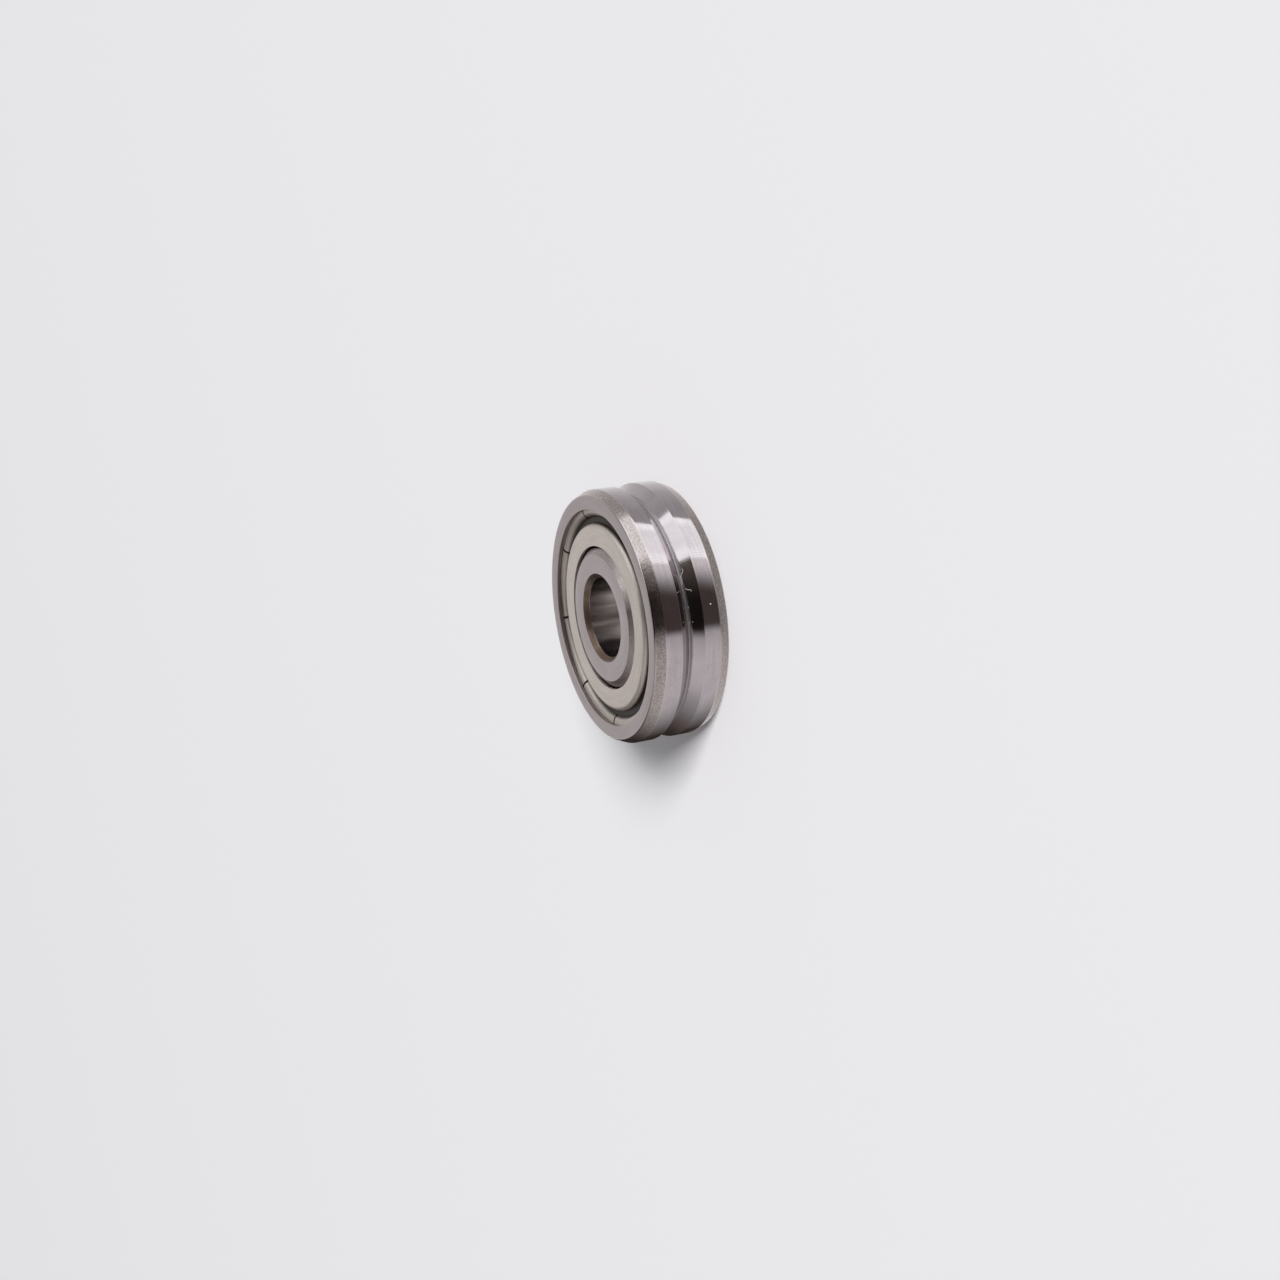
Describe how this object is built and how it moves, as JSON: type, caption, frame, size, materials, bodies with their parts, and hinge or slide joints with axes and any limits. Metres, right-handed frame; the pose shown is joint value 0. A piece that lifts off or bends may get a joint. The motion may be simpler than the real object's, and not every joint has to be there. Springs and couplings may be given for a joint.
{
  "type": "v groove wheel",
  "caption": "Small steel V groove wheel: a shielded ball bearing whose outer ring has a V groove turned round its rim, to run on a rail, rod or wire.",
  "frame": {"origin": "on the wheel's axis, half way through its width", "axes": "+Z along the axis, out of the front face; the wheel lies on its rear face at z = -2.5 mm; +X points to the centre of ball_1 at rest"},
  "size_m": [0.016, 0.016, 0.005],
  "materials": {
    "ring_steel": "hardened bearing steel, finely ground faces and lands, darker tumbled chamfers",
    "ball_steel": "polished bearing steel",
    "cage_steel": "pressed sheet steel",
    "rivet_steel": "plain steel",
    "shield_steel": "satin pressed sheet steel with a warm tint"
  },
  "bodies": {
    "hub": {"inner_ring": "ring_steel"},
    "wheel": {"outer_ring": "ring_steel", "shield_front": "shield_steel", "shield_rear": "shield_steel"},
    "cage": {"cage_front": "cage_steel", "cage_rear": "cage_steel", "cage_rivets": "rivet_steel"},
    "ball_1": {"ball_1": "ball_steel"},
    "ball_2": {"ball_2": "ball_steel"},
    "ball_3": {"ball_3": "ball_steel"},
    "ball_4": {"ball_4": "ball_steel"},
    "ball_5": {"ball_5": "ball_steel"},
    "ball_6": {"ball_6": "ball_steel"},
    "ball_7": {"ball_7": "ball_steel"}
  },
  "joints": [
    {"name": "wheel_spin", "type": "hinge", "parent": "hub", "child": "wheel", "pos_m": [0, 0, 0], "axis": [0, 0, 1], "continuous": true},
    {"name": "cage_spin", "type": "hinge", "parent": "hub", "child": "cage", "pos_m": [0, 0, 0], "axis": [0, 0, 1], "continuous": true},
    {"name": "ball_1_spin", "type": "hinge", "parent": "cage", "child": "ball_1", "pos_m": [0.00525, 0, 0], "axis": [0, 0, 1], "continuous": true},
    {"name": "ball_2_spin", "type": "hinge", "parent": "cage", "child": "ball_2", "pos_m": [0.00327, 0.0041, 0], "axis": [0, 0, 1], "continuous": true},
    {"name": "ball_3_spin", "type": "hinge", "parent": "cage", "child": "ball_3", "pos_m": [-0.00117, 0.00512, 0], "axis": [0, 0, 1], "continuous": true},
    {"name": "ball_4_spin", "type": "hinge", "parent": "cage", "child": "ball_4", "pos_m": [-0.00473, 0.00228, 0], "axis": [0, 0, 1], "continuous": true},
    {"name": "ball_5_spin", "type": "hinge", "parent": "cage", "child": "ball_5", "pos_m": [-0.00473, -0.00228, 0], "axis": [0, 0, 1], "continuous": true},
    {"name": "ball_6_spin", "type": "hinge", "parent": "cage", "child": "ball_6", "pos_m": [-0.00117, -0.00512, 0], "axis": [0, 0, 1], "continuous": true},
    {"name": "ball_7_spin", "type": "hinge", "parent": "cage", "child": "ball_7", "pos_m": [0.00327, -0.0041, 0], "axis": [0, 0, 1], "continuous": true}
  ],
  "couplings": [
    {"joint": "cage_spin", "follows": "wheel_spin", "ratio": 0.63229},
    {"joint": "ball_1_spin", "follows": "wheel_spin", "ratio": 1.7576},
    {"joint": "ball_2_spin", "follows": "wheel_spin", "ratio": 1.7576},
    {"joint": "ball_3_spin", "follows": "wheel_spin", "ratio": 1.7576},
    {"joint": "ball_4_spin", "follows": "wheel_spin", "ratio": 1.7576},
    {"joint": "ball_5_spin", "follows": "wheel_spin", "ratio": 1.7576},
    {"joint": "ball_6_spin", "follows": "wheel_spin", "ratio": 1.7576},
    {"joint": "ball_7_spin", "follows": "wheel_spin", "ratio": 1.7576}
  ]
}
